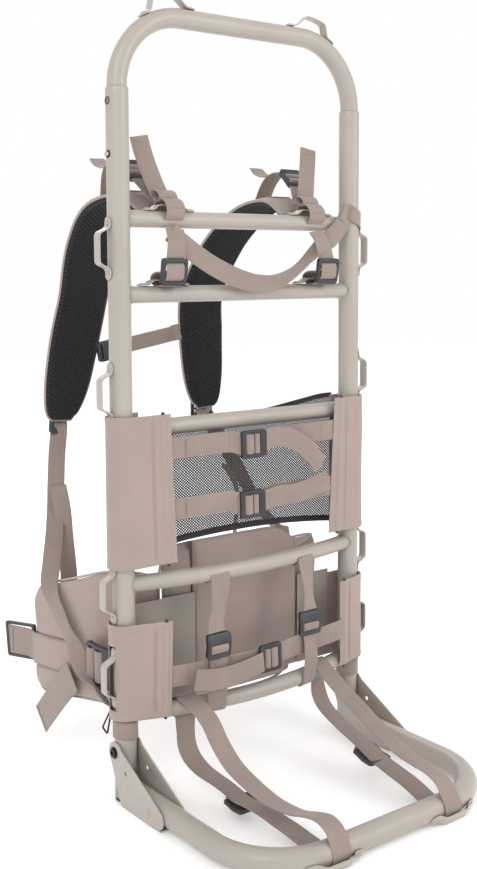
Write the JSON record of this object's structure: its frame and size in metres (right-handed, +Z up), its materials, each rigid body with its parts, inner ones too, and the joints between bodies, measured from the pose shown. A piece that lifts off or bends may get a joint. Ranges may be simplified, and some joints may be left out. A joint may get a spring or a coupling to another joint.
{
  "type": "external pack frame",
  "caption": "External carrying frame for loads: tubular uprights and crossbars, sliding top hoop, folding shelf, lash brackets, padded straps and hip belt.",
  "frame": {"origin": "on the floor, midway between the two uprights and centred in the whole object's box", "axes": "+X across the frame to the right of the loaded side, -Y towards the load and the shelf, +Y towards the wearer, +Z up"},
  "size_m": [0.3982, 0.5453, 0.9103],
  "materials": {
    "tube_paint": "satin warm grey paint over tube",
    "bracket_paint": "satin warm grey paint over bent strip",
    "black_plastic": "moulded, fine texture",
    "dark_steel": "blackened steel fastener",
    "spring_steel": "bright spring steel",
    "pack_fabric": "coated polyester pack cloth",
    "webbing": "flat woven webbing",
    "spacer_mesh": "black spacer mesh over foam"
  },
  "bodies": {
    "frame": {"upright_left": "tube_paint", "upright_right": "tube_paint", "crossbar_1": "tube_paint", "crossbar_2": "tube_paint", "crossbar_3": "tube_paint", "crossbar_4": "tube_paint", "crossbar_5": "tube_paint", "foot_plug_left": "black_plastic", "foot_plug_right": "black_plastic", "lash_bracket_left_1": "bracket_paint", "lash_bracket_left_2": "bracket_paint", "lash_bracket_left_3": "bracket_paint", "lash_bracket_left_4": "bracket_paint", "lash_bracket_right_1": "bracket_paint", "lash_bracket_right_2": "bracket_paint", "lash_bracket_right_3": "bracket_paint", "lash_bracket_right_4": "bracket_paint", "bar_1_bracket_left": "bracket_paint", "bar_1_bracket_right": "bracket_paint", "bar_2_bracket_left": "bracket_paint", "bar_2_bracket_right": "bracket_paint", "pivot_bolt_left": "dark_steel", "pivot_bolt_right": "dark_steel", "back_band_upper": "pack_fabric", "back_band_lower": "pack_fabric", "band_strap_upper_1": "webbing", "band_strap_upper_2": "webbing", "band_strap_lower": "webbing", "ladder_lock_upper_1": "black_plastic", "ladder_lock_upper_2": "black_plastic", "ladder_lock_lower": "black_plastic", "lumbar_pad": "pack_fabric", "belt_wing_left": "pack_fabric", "belt_wing_right": "pack_fabric", "belt_buckle_left": "black_plastic", "belt_buckle_right": "black_plastic", "shoulder_pad_left": "spacer_mesh", "shoulder_pad_right": "spacer_mesh", "load_lifter_left": "webbing", "load_lifter_right": "webbing", "lower_webbing_left": "webbing", "lower_webbing_right": "webbing", "anchor_loop_left": "webbing", "anchor_loop_right": "webbing", "haul_strap": "webbing", "sternum_strap": "webbing", "upright_strap_left": "webbing", "upright_strap_right": "webbing", "shelf_strap_left": "webbing", "shelf_strap_right": "webbing"},
    "hoop": {"top_hoop": "tube_paint", "hoop_bracket_left": "bracket_paint", "hoop_bracket_right": "bracket_paint"},
    "shelf": {"shelf_tube": "tube_paint", "hinge_bracket_left": "bracket_paint", "hinge_bracket_right": "bracket_paint", "shelf_bracket_left": "bracket_paint", "shelf_bracket_right": "bracket_paint"},
    "snap_left": {"snap_button_left": "spring_steel"},
    "snap_right": {"snap_button_right": "spring_steel"}
  },
  "joints": [
    {"name": "hoop_slide", "type": "slide", "parent": "frame", "child": "hoop", "axis": [0, 0, 1], "range_m": [0, 0.057], "deforming": ["snap_button_left", "snap_button_right"]},
    {"name": "shelf_fold", "type": "hinge", "parent": "frame", "child": "shelf", "pos_m": [0, 0, 0.058], "axis": [-1, 0, 0], "range_deg": [0, 72], "deforming": ["shelf_strap_left", "shelf_strap_right", "anchor_loop_left", "anchor_loop_right"]},
    {"name": "snap_press_left", "type": "slide", "parent": "hoop", "child": "snap_left", "axis": [1, 0, 0], "range_m": [0, 0.004], "stiffness_N_per_m": 600, "springref_m": -0.003},
    {"name": "snap_press_right", "type": "slide", "parent": "hoop", "child": "snap_right", "axis": [-1, 0, 0], "range_m": [0, 0.004], "stiffness_N_per_m": 600, "springref_m": -0.003}
  ]
}
